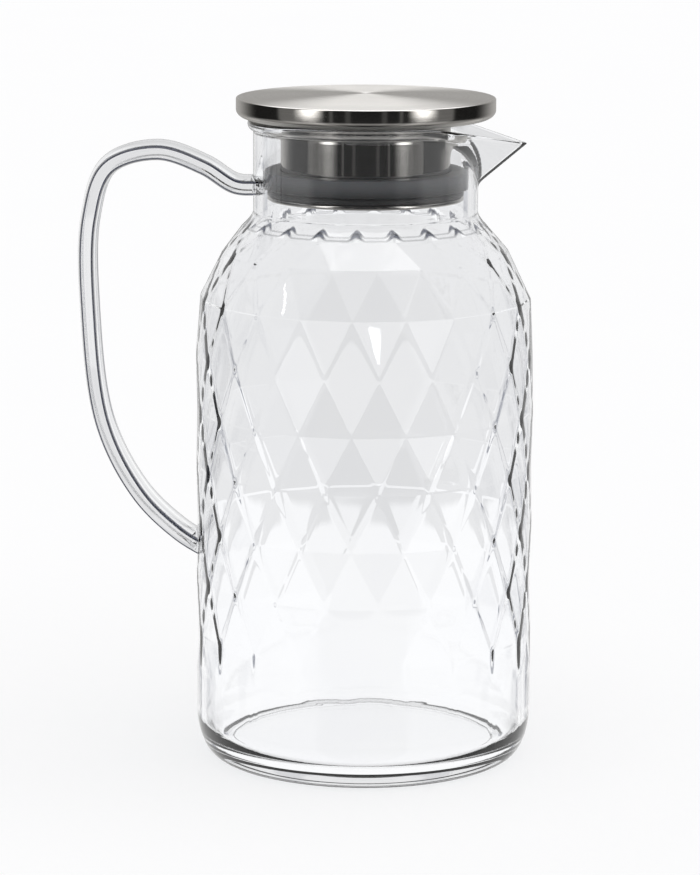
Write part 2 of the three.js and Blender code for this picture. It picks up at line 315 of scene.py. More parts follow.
def row_radius(rings, row, angle, z):
    """Radius of one row of facets: rising and falling triangles, joined along rounded ridges."""
    z0, r0 = rings[row]
    z1, r1 = rings[row + 1]
    flat = math.cos(HALF_FACET)
    t = (z - z0) / (z1 - z0)
    rising = r0 * flat + (r1 - r0 * flat) * t
    falling = r0 + (r1 * flat - r0) * t
    pitch = 2 * HALF_FACET
    corner = FIRST_FACET_CORNER + row * HALF_FACET
    from_corner = (angle - corner + HALF_FACET) % pitch - HALF_FACET
    from_middle = (angle - corner) % pitch - HALF_FACET
    soft = softness(rings, z)
    planes = []
    for distance, off in ((rising, from_middle), (falling, from_corner)):
        planes.append(distance / np.cos(off))
        planes.append(distance / np.cos(np.abs(off) - pitch))
    lowest = np.minimum(planes[0], planes[2])
    total = sum(np.exp((lowest - plane) / soft) for plane in planes)
    return lowest - soft * np.log(total)


def wall_normals(radius_at, outward):
    """Gives the normals, read just inside each corner, of a wall known by its radius."""
    inset = 0.03
    turn = 1e-4
    lift = 1e-3

    def normals(corners):
        middle = corners.mean(1, keepdims=True)
        near = corners + (middle - corners) * inset
        angle = np.arctan2(near[..., 1], near[..., 0])
        z = near[..., 2]
        r = radius_at(angle, z)
        around = (radius_at(angle + turn, z) - radius_at(angle - turn, z)) / (2 * turn) / r
        upward = (radius_at(angle, z + lift) - radius_at(angle, z - lift)) / (2 * lift)
        c = np.cos(angle)
        s = np.sin(angle)
        n = np.stack([c + around * s, s - around * c, -upward], -1)
        return outward * n / np.linalg.norm(n, axis=-1, keepdims=True)
    return normals


def ring_corner(rings, row, k):
    angle = FIRST_FACET_CORNER + row * HALF_FACET + 2 * HALF_FACET * k
    z, r = rings[row]
    return np.array((r * math.cos(angle), r * math.sin(angle), z))


def column_shares(width):
    """Where a facet's columns lie across it: close beside both ridges, and a few on the flat."""
    if width < NO_WIDTH:
        near = RIDGE_COLUMNS / RIDGE_COLUMNS[-1] * NARROW_SHARE
    else:
        near = RIDGE_COLUMNS * min(1.0, width / RIDGE_COLUMNS[-1] * NARROW_SHARE) / width
    flat = np.linspace(near[-1], 1 - near[-1], FLAT_COLUMNS + 2)[1:-1]
    return np.concatenate([near, flat, 1 - near[::-1]])


def on_wall(points, radius_at):
    angle = np.arctan2(points[..., 1], points[..., 0])
    z = points[..., 2]
    r = radius_at(angle, z)
    return np.stack([r * np.cos(angle), r * np.sin(angle), z], -1)


def facet_patches(rings, row, outward):
    """The patches of a row's triangles, with columns along the ridges."""
    def radius_at(angle, z):
        return row_radius(rings, row, angle, z)
    patches = []
    for k in range(FACETS_AROUND):
        low = ring_corner(rings, row, k)
        low_next = ring_corner(rings, row, k + 1)
        high = ring_corner(rings, row + 1, k)
        high_before = ring_corner(rings, row + 1, k - 1)
        for left, right in (((low, high), (low_next, high)), ((low, high_before), (low, high))):
            lines = []
            for t in ROW_STEPS:
                a = left[0] + (left[1] - left[0]) * t
                b = right[0] + (right[1] - right[0]) * t
                share = column_shares(np.linalg.norm(b - a))
                lines.append(a + (b - a) * share[:, None])
            points = on_wall(np.stack(lines), radius_at)
            if outward < 0:
                points = points[::-1]
            patches.append(patch(points, wall_normals(radius_at, outward)))
    return patches


def ring_angles(rings, row):
    """Angles of the columns that a ring of facets has."""
    _, r = rings[row]
    width = 2 * r * math.sin(HALF_FACET)
    angles = []
    for k in range(FACETS_AROUND):
        a = ring_corner(rings, row, k)
        b = ring_corner(rings, row, k + 1)
        line = a + (b - a) * column_shares(width)[:-1, None]
        angles.append(np.arctan2(line[:, 1], line[:, 0]))
    return np.sort(np.concatenate(angles) % (2 * math.pi))


# Beak spout: two planes through the keel and the ends of the mouth
RIM_RADIUS = NECK_RADIUS + RIM_LIP_OVERHANG
MOUTH_X = RIM_RADIUS * math.cos(SPOUT_MOUTH_HALF_ANGLE)
MOUTH_Y = RIM_RADIUS * math.sin(SPOUT_MOUTH_HALF_ANGLE)
KEEL_ROOT = Vector((SPOUT_KEEL_ROOT_REACH, 0, RIM_TOP - SPOUT_KEEL_ROOT_DROP))
SPOUT_TIP = Vector((SPOUT_REACH, 0, RIM_TOP - SPOUT_TIP_DROP))
MOUTH_END = Vector((MOUTH_X, MOUTH_Y, RIM_TOP))
SPOUT_SIDE = (SPOUT_TIP - KEEL_ROOT).cross(MOUTH_END - KEEL_ROOT).normalized()
if SPOUT_SIDE.x < 0:
    SPOUT_SIDE = -SPOUT_SIDE
# Least divisors, met only far from the beak
LEAST_SIDE_REACH = 0.05
LEAST_EDGE_REACH = 1.0


def to_front(angle):
    """Angle away from the spout, from 0 to half a turn."""
    return np.abs((angle + math.pi) % (2 * math.pi) - math.pi)


def soft_sine(angle):
    return np.sqrt(np.sin(angle) ** 2 + SPOUT_TIP_ROUNDING ** 2) - SPOUT_TIP_ROUNDING


def spout_radius(angle, z, inset):
    """Radius of the beak's two sides, moved in by the inset, fading out at the ends of the mouth."""
    away = to_front(angle)
    distance = SPOUT_SIDE.dot(KEEL_ROOT) - inset
    reach = SPOUT_SIDE.x * np.cos(away) + SPOUT_SIDE.y * soft_sine(away)
    radius = (distance - SPOUT_SIDE.z * z) / np.maximum(reach, LEAST_SIDE_REACH)
    return radius * smooth_step(SPOUT_FADE_END, SPOUT_FADE_START, away)


def edge_top(angle):
    """Height of the rim at each angle: level round the neck, sloping down along the beak."""
    away = to_front(angle)
    run = SPOUT_REACH - MOUTH_X
    reach = MOUTH_Y * np.cos(away) + run * soft_sine(away)
    x = MOUTH_Y * SPOUT_REACH / np.maximum(reach, LEAST_EDGE_REACH) * np.cos(away)
    ahead = smooth_max(x - MOUTH_X, np.zeros_like(x), MOUTH_EDGE_BLEND)
    drop = ahead * SPOUT_TIP_DROP / run
    return RIM_TOP - np.where(away < math.pi / 2, drop, 0.0)


def lip_share(angle):
    """How much of the rim's lip there is: all of it round the neck, none on the beak."""
    return smooth_step(LIP_START, LIP_FULL, to_front(angle))


def wall_outside(angle, z):
    neck = np.full_like(angle, NECK_RADIUS)
    return smooth_max(neck, spout_radius(angle, z, 0.0), SPOUT_BLEND)


def wall_inside(angle, z):
    bore = np.full_like(angle, NECK_BORE)
    return smooth_max(bore, spout_radius(angle, z, SPOUT_WALL), SPOUT_BLEND)


def fillet_radius(rings, wall):
    """Radius of the smooth fillet between the top ring of facets and the neck."""
    z0 = rings[-1][0]
    height = NECK_FOOT - z0

    def radius_at(angle, z):
        start = row_radius(rings, len(rings) - 2, angle, np.full_like(angle, z0))
        share = np.clip(1 - (z - z0) / height, 0.0, 1.0) ** NECK_FILLET_POWER
        neck = wall(angle, z)
        return neck + (start - neck) * share
    return radius_at


def ledge_radius(rings, plain):
    """Radius of the long soft ledge between the lowest ring of facets and the round band."""
    z0 = rings[0][0]

    def radius_at(angle, z):
        start = row_radius(rings, 0, angle, np.full_like(angle, z0))
        return start + (plain - start) * smooth_step(0.0, LEDGE_HEIGHT, z0 - z)
    return radius_at


def wall_patch(angle, heights, radius_at, outward):
    rows = [ring(angle, radius_at(angle, np.full_like(angle, z)), z) for z in heights]
    return patch(closed_rows(rows), wall_normals(radius_at, outward))


def neck_angles():
    """The columns of the top ring of facets, with finer ones at the beak."""
    own = ring_angles(RINGS, len(RINGS) - 1)
    beak = np.radians(BEAK_COLUMNS)
    fine = np.concatenate([beak, -beak[1:]]) % (2 * math.pi)
    even = np.radians(np.arange(0.0, 360.0, NECK_COLUMN_STEP)) + NECK_COLUMN_TURN
    return np.unique(np.round(np.concatenate([own, fine, even]), 5))


def rim_rows(angle):
    """Neck above the fillet, lip, edge and the inside of the neck; the edge is squarer on the beak."""
    top = edge_top(angle)
    lip = lip_share(angle)
    cap = SPOUT_CAP + (RIM_CAP - SPOUT_CAP) * lip
    power = 0.5 + 0.5 * lip
    lip_foot = top - RIM_LIP_HEIGHT
    nose = top - cap
    rows = []
    for t in np.linspace(0, 1, NECK_ROWS, endpoint=False):
        z = NECK_FOOT + t * (lip_foot - NECK_FOOT)
        rows.append(ring(angle, wall_outside(angle, z), z))
    for t in np.linspace(0, 1, LIP_ROWS):
        z = lip_foot + t * (nose - lip_foot)
        swell = RIM_LIP_OVERHANG * lip * math.sqrt(1 - (1 - t) ** 2)
        rows.append(ring(angle, wall_outside(angle, z) + swell, z))
    outer = wall_outside(angle, nose) + RIM_LIP_OVERHANG * lip
    inner = wall_inside(angle, nose)
    for turn in np.radians(np.linspace(0, 180, EDGE_ROWS))[1:-1]:
        across = math.copysign(1, math.cos(turn)) * abs(math.cos(turn)) ** power
        radius = (outer + inner) / 2 + (outer - inner) / 2 * across
        rows.append(ring(angle, radius, nose + cap * math.sin(turn) ** power))
    for t in np.linspace(1, 0, BORE_ROWS):
        z = NECK_FOOT + t * (nose - NECK_FOOT)
        rows.append(ring(angle, wall_inside(angle, z), z))
    return rows


def base_rows(angle):
    """Round band, heel and underside with its recess, from the ledge to the middle."""
    flat = BODY_RADIUS - HEEL_WIDTH
    edge = FOOT_RECESS_RADIUS
    slope = FOOT_RECESS_SLOPE
    rows = [ring(angle, BODY_RADIUS, z) for z in np.linspace(LEDGE_FOOT, HEEL_HEIGHT, BAND_ROWS)[:-1]]
    heel = arc(flat, HEEL_HEIGHT, HEEL_WIDTH, HEEL_HEIGHT, 0, -90, HEEL_STEPS)
    rows += [ring(angle, r, z) for r, z in heel]
    rows += [ring(angle, r, 0.0) for r in (flat - SUPPORT_INSET, edge + 2 * slope, edge + slope)]
    rows += [ring(angle, r, FOOT_RECESS) for r in (edge, edge - slope) + DISC_RADII]
    return rows


def inside_base_rows(angle):
    """Inside of the round band, the fillet and the jug's floor, from the middle to the ledge."""
    bore = BODY_RADIUS - BODY_WALL
    corner = bore - FLOOR_FILLET
    foot = FLOOR_THICKNESS + FLOOR_FILLET
    rows = [ring(angle, r, FLOOR_THICKNESS) for r in DISC_RADII[::-1] + (corner - SUPPORT_INSET,)]
    fillet = arc(corner, foot, FLOOR_FILLET, FLOOR_FILLET, -90, 0, FLOOR_FILLET_STEPS)
    rows += [ring(angle, r, z) for r, z in fillet]
    rows += [ring(angle, bore, z) for z in np.linspace(foot, LEDGE_FOOT, BAND_ROWS)[1:]]
    return rows


def jug_shell():
    """The clear body: facets, neck with rim and spout, ledge and base, outside and inside."""
    patches = []
    for row in range(len(RINGS) - 1):
        patches += facet_patches(RINGS, row, 1)
        patches += facet_patches(INNER_RINGS, row, -1)
    neck = neck_angles()
    outer_fillet = np.linspace(RINGS[-1][0], NECK_FOOT, FILLET_ROWS)
    inner_fillet = np.linspace(NECK_FOOT, INNER_RINGS[-1][0], FILLET_ROWS)
    patches.append(wall_patch(neck, outer_fillet, fillet_radius(RINGS, wall_outside), 1))
    patches.append(wall_patch(neck, inner_fillet, fillet_radius(INNER_RINGS, wall_inside), -1))
    patches.append(patch(closed_rows(rim_rows(neck))))
    ledge = np.linspace(LEDGE_FOOT, LOWEST_FACET_ROW, LEDGE_ROWS)
    outer_ledge = ledge_radius(RINGS, BODY_RADIUS)
    inner_ledge = ledge_radius(INNER_RINGS, BODY_RADIUS - BODY_WALL)
    outside = ring_angles(RINGS, 0)
    inside = ring_angles(INNER_RINGS, 0)
    patches.append(wall_patch(outside, ledge, outer_ledge, 1))
    patches.append(wall_patch(inside, ledge[::-1], inner_ledge, -1))
    patches.append(patch(closed_rows(base_rows(outside)[::-1])))
    patches.append(patch(closed_rows(inside_base_rows(inside)[::-1])))
    return weld("jug_shell", patches)


def route_point(points, t):
    """A point at t on a centripetal curve through the points, and its direction."""
    spans = len(points) - 1
    index = min(int(t * spans), spans - 1)
    weight = t * spans - index
    p1 = points[index]
    p2 = points[index + 1]
    p0 = points[index - 1] if index > 0 else 2 * p1 - p2
    p3 = points[index + 2] if index + 2 <= spans else 2 * p2 - p1
    d0 = math.sqrt(np.linalg.norm(p1 - p0))
    d1 = math.sqrt(np.linalg.norm(p2 - p1))
    d2 = math.sqrt(np.linalg.norm(p3 - p2))
    t1 = ((p1 - p0) / d0 - (p2 - p0) / (d0 + d1) + (p2 - p1) / d1) * d1
    t2 = ((p2 - p1) / d1 - (p3 - p1) / (d1 + d2) + (p3 - p2) / d2) * d1
    c2 = -3 * p1 + 3 * p2 - 2 * t1 - t2
    c3 = 2 * p1 - 2 * p2 + t1 + t2
    place = p1 + t1 * weight + c2 * weight ** 2 + c3 * weight ** 3
    direction = t1 + 2 * c2 * weight + 3 * c3 * weight ** 2
    return place, direction / np.linalg.norm(direction)


def strap_half_thickness(u):
    """Half the strap's thickness between its bulged faces, at a distance from their middle line."""
    half_edge = HANDLE_EDGE_THICKNESS / 2
    bulge = HANDLE_THICKNESS / 2 - half_edge
    return half_edge + bulge * (1 - (u / (HANDLE_WIDTH / 2)) ** 2)


def strap_section():
    """The strap's outline: bulged faces, flat narrow edges and rounded corners."""
    corner = HANDLE_EDGE_ROUNDING
    inner = HANDLE_FACE_HALF
    face = [(u, strap_half_thickness(u)) for u in np.linspace(inner, -inner, STRAP_FACE_POINTS)]
    side = face[-1][1] - corner
    upper = arc(-inner, side, corner, corner, 90, 180, STRAP_CORNER_STEPS)[1:]
    flat = [(-HANDLE_WIDTH / 2, side * share) for share in STRAP_EDGE_SHARES]
    lower = arc(-inner, -side, corner, corner, 180, 270, STRAP_CORNER_STEPS)[:-1]
    half = face + upper + flat + lower
    return half + [(-u, -v) for u, v in half]


def painted_shade_share(u, v):
    """How much painted shade the strap's outline gets at a point: full at its two front corners,
    fading from them; it stands in for the dark lines that refraction draws at the edges.
    """
    if u > 0:
        return 0.0
    if abs(u) <= HANDLE_FACE_HALF:
        return max(1 - (HANDLE_FACE_HALF - abs(u)) / PAINTED_SHADE_LINE_WIDTH, 0.0)
    below_face = strap_half_thickness(HANDLE_FACE_HALF) - abs(v)
    along = max(1 - below_face / HANDLE_EDGE_ROUNDING, 0.0)
    return min(PAINTED_SHADE_LINE_GAIN * along, 1.0)


def paint_edge_shade(strap, section, rows):
    """Stores on the strap where its painted shade lines are."""
    shares = [painted_shade_share(u, v) for u, v in section]
    tree = KDTree(len(rows) * len(section))
    for index, point in enumerate(np.concatenate(rows)):
        tree.insert(Vector(point) * MM, index)
    tree.balance()
    line = strap.data.attributes.new("painted_shade_line", "FLOAT", "POINT")
    for vertex, mark in zip(strap.data.vertices, line.data):
        _, nearest, _ = tree.find(vertex.co)
        mark.value = shares[nearest % len(section)]


def strap_point(points, t, u, v):
    """The place of a point of the strap's outline at t on its route."""
    (x, z), (dx, dz) = route_point(points, t)
    return np.array((x - v * dz, u, z + v * dx))


def jug_radius_at(point):
    """Radius of the jug's outside at the point's height and bearing."""
    angle = np.array([math.atan2(point[1], point[0])])
    z = np.array([point[2]])
    if point[2] > SHOULDER_TOP:
        return float(wall_outside(angle, z)[0])
    row = max(i for i in range(len(RINGS) - 1) if RINGS[i][0] <= point[2])
    return float(row_radius(RINGS, row, angle, z)[0])


def meets_jug(points, u, v, inside, outside):
    """The place on a strap line where it comes out of the jug's wall, by halving."""
    for _ in range(HALVINGS):
        middle = (inside + outside) / 2
        p = strap_point(points, middle, u, v)
        if math.hypot(p[0], p[1]) > jug_radius_at(p) + BOND_GAP:
            outside = middle
        else:
            inside = middle
    return outside


def at_radius(point, radius):
    """The point moved straight out or in to that distance from the jug's axis."""
    scale = radius / math.hypot(point[0], point[1])
    return point * np.array([scale, scale, 1.0])


def handle_strap():
    """The clear strap, each of its lines running from where it leaves the neck to the body."""
    points = [np.array(p) for p in HANDLE_ROUTE]
    section = strap_section()
    starts = [meets_jug(points, u, v, 0.0, HANDLE_END_SHARE) for u, v in section]
    stops = [meets_jug(points, u, v, 1.0, 1 - HANDLE_END_SHARE) for u, v in section]
    rows = []
    for share in np.linspace(0, 1, STRAP_ROWS):
        line = []
        for (u, v), start, stop in zip(section, starts, stops):
            line.append(strap_point(points, start + share * (stop - start), u, v))
        rows.append(np.array(line))
    upper = at_radius(rows[0].mean(0), NECK_RADIUS + BOND_GAP)
    lower = rows[-1].mean(0)
    lower = at_radius(lower, jug_radius_at(lower) + BOND_GAP)
    strap = skin("handle_strap", rows, start_pole=upper, end_pole=lower)
    paint_edge_shade(strap, section, rows)
    return strap


def crown_rows(radius, edge_height):
    """The slightly crowned sheet, from its edge to its middle."""
    return [(radius * share, edge_height + LID_CROWN * (1 - share * share)) for share in CROWN_SHARES]


def lid_cap():
    """The spun sheet: crowned top, short side and the foot rolled in under it."""
    side_bottom = LID_TOP - LID_SIDE_HEIGHT
    roll_width = LID_RADIUS - LID_FOOT_RADIUS
    foot_end = LID_FOOT_RADIUS - LID_FOOT_WIDTH
    inside = LID_RADIUS - LID_SHEET
    inside_width = roll_width - LID_SHEET
    inside_height = LID_ROLL_HEIGHT - LID_SHEET
    edge = LID_EDGE_ROUNDING
    profile = crown_rows(inside, LID_TOP - LID_SHEET)[::-1]
    profile += [(inside, LID_TOP - LID_SHEET)]
    profile += arc(LID_FOOT_RADIUS, side_bottom, inside_width, inside_height, 0, -90, steps=8)
    profile += [(foot_end, LID_FOOT + LID_SHEET), (foot_end, LID_FOOT)]
    profile += arc(LID_FOOT_RADIUS, side_bottom, roll_width, LID_ROLL_HEIGHT, -90, 0, steps=12)
    profile += arc(LID_RADIUS - edge, LID_TOP - edge, edge, edge, 0, 90, steps=6)
    profile += crown_rows(LID_RADIUS - edge, LID_TOP)
    return turned("lid_cap_spun", profile)


def lid_plate():
    """The flat sheet that closes the cap from below, with its edge broken."""
    radius = LID_FOOT_RADIUS - LID_FOOT_WIDTH + PLATE_OVERLAP
    low = PLATE_UNDERSIDE
    top = PLATE_UNDERSIDE + LID_SHEET
    edge = PLATE_EDGE
    profile = [(r, low) for r in PLATE_RADII]
    profile += [(radius - edge, low), (radius, low + edge), (radius, top - edge), (radius - edge, top)]
    profile += [(r, top) for r in PLATE_RADII[::-1]]
    return turned("lid_plate_sheet", profile)


def lid_collar():
    """The tube under the lid: rolled bead, straight wall and flared top."""
    top = PLATE_UNDERSIDE - SEAT_GAP
    inside = COLLAR_RADIUS - LID_SHEET
    bead = COLLAR_BEAD_HEIGHT / 2
    bead_centre = COLLAR_BEAD_RADIUS - bead
    tube_foot = COLLAR_BOTTOM + 2 * bead
    flare_centre = COLLAR_RADIUS + COLLAR_FLARE
    flare_z = top - LID_SHEET - COLLAR_FLARE
    inside_flare = COLLAR_FLARE + LID_SHEET
    profile = [(inside, COLLAR_BOTTOM), (bead_centre - 0.5, COLLAR_BOTTOM)]
    profile += arc(bead_centre, COLLAR_BOTTOM + bead, bead, bead, -90, 90, steps=8)
    profile += [(COLLAR_RADIUS + COLLAR_CHAMFER, tube_foot)]
    # Close rings beside the bead and the flare keep the shading of the tube straight
    profile += [(COLLAR_RADIUS, tube_foot + rise) for rise in (COLLAR_CHAMFER, 0.5, 0.8)]
    profile += [(COLLAR_RADIUS, flare_z - drop) for drop in (0.5, 0.1)]
    profile += arc(flare_centre, flare_z, COLLAR_FLARE, COLLAR_FLARE, 180, 90, steps=10)
    profile += [(flare_centre, top)]
    profile += arc(flare_centre, flare_z, inside_flare, inside_flare, 90, 180, steps=10)
    return turned("lid_collar_tube", profile)


def seal_ring():
    """The ring round the collar: two rounded lips with a narrow groove between them."""
    inside = COLLAR_RADIUS + SEAL_GAP
    bottom = COLLAR_BOTTOM + COLLAR_BEAD_HEIGHT + SEAL_GAP
    upper_bottom = SEAL_TOP - SEAL_UPPER_LIP_HEIGHT
    lower_top = upper_bottom - SEAL_GROOVE_HEIGHT
    soft = SEAL_EDGE_ROUNDING
    upper = NECK_BORE - SEAL_GAP - soft
    lower = SEAL_LOWER_LIP_RADIUS - soft
    profile = [(inside, bottom), (lower, bottom)]
    profile += arc(lower, bottom + soft, soft, soft, -90, 0, steps=4)
    profile += arc(lower, lower_top - soft, soft, soft, 0, 90, steps=4)
    profile += [(SEAL_GROOVE_RADIUS, lower_top), (SEAL_GROOVE_RADIUS, upper_bottom)]
    profile += arc(upper, upper_bottom + soft, soft, soft, -90, 0, steps=4)
    profile += arc(upper, SEAL_TOP - soft, soft, soft, 0, 90, steps=4)
    profile += [(inside + SEAL_CHAMFER, SEAL_TOP), (inside, SEAL_TOP - SEAL_CHAMFER)]
    return turned("seal_ring_soft", profile)


class Nodes:
    """Short calls for building a node tree."""

    def __init__(self, tree):
        self.tree = tree
        tree.nodes.clear()

    def add(self, kind, **values):
        node = self.tree.nodes.new(kind)
        for name, value in values.items():
            setattr(node, name, value)
        return node

    def plug(self, value, socket):
        if isinstance(value, bpy.types.NodeSocket):
            self.tree.links.new(value, socket)
        else:
            socket.default_value = value

    def math(self, operation, a, b=0.0, c=None):
        node = self.add("ShaderNodeMath", operation=operation)
        self.plug(a, node.inputs[0])
        self.plug(b, node.inputs[1])
        if c is not None:
            self.plug(c, node.inputs[2])
        return node.outputs[0]

    def times(self, a, b):
        return self.math("MULTIPLY", a, b)

    def plus_times(self, total, a, b):
        return self.math("MULTIPLY_ADD", a, b, total)

    def split(self, vector):
        node = self.add("ShaderNodeSeparateXYZ")
        self.plug(vector, node.inputs[0])
        return node.outputs

    def radius(self, x, y):
        return self.math("SQRT", self.math("ADD", self.times(x, x), self.times(y, y)))

    def bearing(self, x, y):
        """Degrees from straight in front of the jug, positive to the right."""
        return self.times(self.math("ARCTAN2", x, self.times(y, -1.0)), DEGREES)

    def ramp(self, value, low, high, out_low=0.0, out_high=1.0):
        node = self.add("ShaderNodeMapRange", interpolation_type="SMOOTHSTEP")
        for socket, x in zip(node.inputs, (value, low, high, out_low, out_high)):
            self.plug(x, socket)
        return node.outputs[0]

    def band(self, value, start, end, soft):
        """One between two values, with soft ends, and nothing elsewhere."""
        rising = self.ramp(value, start, start + soft)
        falling = self.ramp(value, end - soft, end, 1.0, 0.0)
        return self.times(rising, falling)

    def mix(self, share, a, b):
        node = self.add("ShaderNodeMix", data_type="RGBA", clamp_factor=False)
        self.plug(share, node.inputs[0])
        self.plug(a, node.inputs[6])
        self.plug(b, node.inputs[7])
        return node.outputs[2]

    def noise(self, vector, scale, detail=2.0, roughness=0.5):
        node = self.add("ShaderNodeTexNoise")
        self.plug(vector, node.inputs["Vector"])
        self.plug(scale, node.inputs["Scale"])
        self.plug(detail, node.inputs["Detail"])
        self.plug(roughness, node.inputs["Roughness"])
        return node.outputs[0]

    def spread(self, noise, low=0.0, high=1.0):
        """The middle of a noise's values, stretched to run from low to high."""
        return self.ramp(noise, 0.3, 0.7, low, high)

    def bump(self, height, strength, distance):
        node = self.add("ShaderNodeBump")
        self.plug(strength, node.inputs["Strength"])
        self.plug(distance, node.inputs["Distance"])
        self.plug(height, node.inputs["Height"])
        return node.outputs[0]

    def light(self, strength):
        node = self.add("ShaderNodeEmission")
        self.plug(WHITE, node.inputs["Color"])
        self.plug(strength, node.inputs["Strength"])
        return node

    def mix_shaders(self, share, a, b):
        node = self.add("ShaderNodeMixShader")
        self.plug(share, node.inputs[0])
        self.plug(a.outputs[0], node.inputs[1])
        self.plug(b.outputs[0], node.inputs[2])
        return node

    def surface(self, shader, kind="ShaderNodeOutputMaterial"):
        out = self.add(kind)
        self.plug(shader.outputs[0], out.inputs["Surface"])


# Colours of the materials
BLACK = (0, 0, 0, 1)
WHITE = (1, 1, 1, 1)
ACRYLIC_TONES = ((0.985, 0.988, 0.995, 1), (0.995, 0.997, 1.0, 1))
ACRYLIC_SHADOW = (0.94, 0.945, 0.95, 1)
# Painted shade for the crease line under the neck
PAINTED_CREASE_SHADE_TONE = (0.03, 0.034, 0.05, 1)
# Painted shade for the lines on the handle's front corners
PAINTED_SHADE_LINE_TONE = (0.004, 0.005, 0.011, 1)
STEEL_TONES = ((0.60, 0.588, 0.57, 1), (0.66, 0.648, 0.63, 1))
# Painted shade for the seal's foot and painted light for the top of its upper lip
SEAL_PAINTED_SHADE_TONES = ((0.016, 0.017, 0.018, 1), (0.022, 0.023, 0.024, 1))
SEAL_PAINTED_LIGHT_TONES = ((0.095, 0.098, 0.104, 1), (0.115, 0.118, 0.124, 1))
TABLE_TONES = ((0.645, 0.645, 0.65, 1), (0.655, 0.655, 0.655, 1))


def new_material(name):
    material = bpy.data.materials.new(name)
    material.use_nodes = True
    return material, Nodes(material.node_tree)


def painted_crease_shade(n, place):
    """Painted shade where the facets run out under the neck: a thin dark line that peaks at each facet
    corner, standing in for dark refraction.
    """
    x, y, z = n.split(place)
    corner = FIRST_FACET_CORNER + (len(RINGS) - 1) * HALF_FACET
    turns = n.math("SUBTRACT", n.math("ARCTAN2", y, x), corner - 4 * math.pi)
    within = n.math("MODULO", n.math("ADD", turns, HALF_FACET), 2 * HALF_FACET)
    off = n.math("ABSOLUTE", n.math("SUBTRACT", within, HALF_FACET))
    peak = n.ramp(off, 0.0, CREASE_PEAK_HALF_ANGLE, 1.0, 0.0)
    line = n.plus_times(CREASE_LINE * MM, peak, CREASE_PEAK_HEIGHT * MM)
    distance = n.math("ABSOLUTE", n.math("SUBTRACT", z, line))
    width = n.plus_times(CREASE_WIDTH * MM, peak, CREASE_PEAK_WIDTH * MM)
    shade = n.ramp(n.math("DIVIDE", distance, width), 0.3, 1.0, 1.0, 0.0)
    shade = n.times(shade, n.ramp(peak, 0.0, 0.6, 0.55, 1.0))
    inward = n.ramp(n.radius(x, y), CREASE_FADE_RADIUS * MM, CREASE_END_RADIUS * MM, 1.0, 0.0)
    return n.times(shade, inward)


def acrylic_material():
    """Clear acrylic with faint moulding waves, and painted shade: dark lines at the crease and on the
    handle's front corners, standing in for dark refraction.

    Lamps and soft light pass straight through it.
    """
    deepest_ray = 12.0
    material, n = new_material("clear_acrylic")
    place = n.add("ShaderNodeTexCoord").outputs["Object"]
    waves = n.noise(place, 70.0, 1.0, 0.4)
    tint = n.noise(place, 25.0, 2.0, 0.5)
    edge = n.add("ShaderNodeAttribute", attribute_name="painted_shade_line").outputs["Fac"]
    tone = n.mix(n.spread(tint), *ACRYLIC_TONES)
    # Painted shade along the crease under the neck
    tone = n.mix(painted_crease_shade(n, place), tone, PAINTED_CREASE_SHADE_TONE)
    # Painted shade along the handle's front corners
    tone = n.mix(n.ramp(edge, 0.3, 0.8), tone, PAINTED_SHADE_LINE_TONE)
    shader = n.add("ShaderNodeBsdfPrincipled")
    n.plug(tone, shader.inputs["Base Color"])
    n.plug(1.49, shader.inputs["IOR"])
    n.plug(1.0, shader.inputs["Transmission Weight"])
    n.plug(0.0, shader.inputs["Roughness"])
    n.plug(n.bump(waves, 0.012, 0.001), shader.inputs["Normal"])
    clear = n.add("ShaderNodeBsdfTransparent")
    n.plug(ACRYLIC_SHADOW, clear.inputs["Color"])
    path = n.add("ShaderNodeLightPath")
    sharp = n.math("MAXIMUM", path.outputs["Is Camera Ray"], path.outputs["Is Singular Ray"])
    short = n.math("LESS_THAN", path.outputs["Ray Depth"], deepest_ray)
    n.surface(n.mix_shaders(n.times(sharp, short), clear, shader))
    return material


def steel_material(name, face_roughness, edge_roughness, anisotropy, grain_bump):
    """Stainless steel brushed in circles about the jug's axis, with its own finish at the rim."""
    around_stretch = 0.0004
    face_end = (LID_RADIUS - 0.7) * MM
    edge_start = (LID_RADIUS - 0.5) * MM
    material, n = new_material(name)
    x, y, z = n.split(n.add("ShaderNodeTexCoord").outputs["Object"])
    radius = n.radius(x, y)
    grain = n.add("ShaderNodeCombineXYZ")
    n.plug(radius, grain.inputs[0])
    n.plug(n.times(n.math("ARCTAN2", y, x), around_stretch), grain.inputs[1])
    n.plug(z, grain.inputs[2])
    fine = n.noise(grain.outputs[0], 3600.0, 3.0, 0.6)
    broad = n.noise(grain.outputs[0], 700.0, 2.0, 0.5)
    roughness = n.ramp(radius, face_end, edge_start, face_roughness, edge_roughness)
    shader = n.add("ShaderNodeBsdfPrincipled")
    n.plug(n.mix(n.spread(fine), *STEEL_TONES), shader.inputs["Base Color"])
    n.plug(1.0, shader.inputs["Metallic"])
    n.plug(n.times(roughness, n.spread(broad, 0.92, 1.08)), shader.inputs["Roughness"])
    n.plug(anisotropy, shader.inputs["Anisotropic"])
    n.plug(0.25, shader.inputs["Anisotropic Rotation"])
    tangent = n.add("ShaderNodeTangent", direction_type="RADIAL", axis="Z")
    n.plug(tangent.outputs[0], shader.inputs["Tangent"])
    n.plug(n.bump(fine, grain_bump, 0.0001), shader.inputs["Normal"])
    n.surface(shader)
    return material


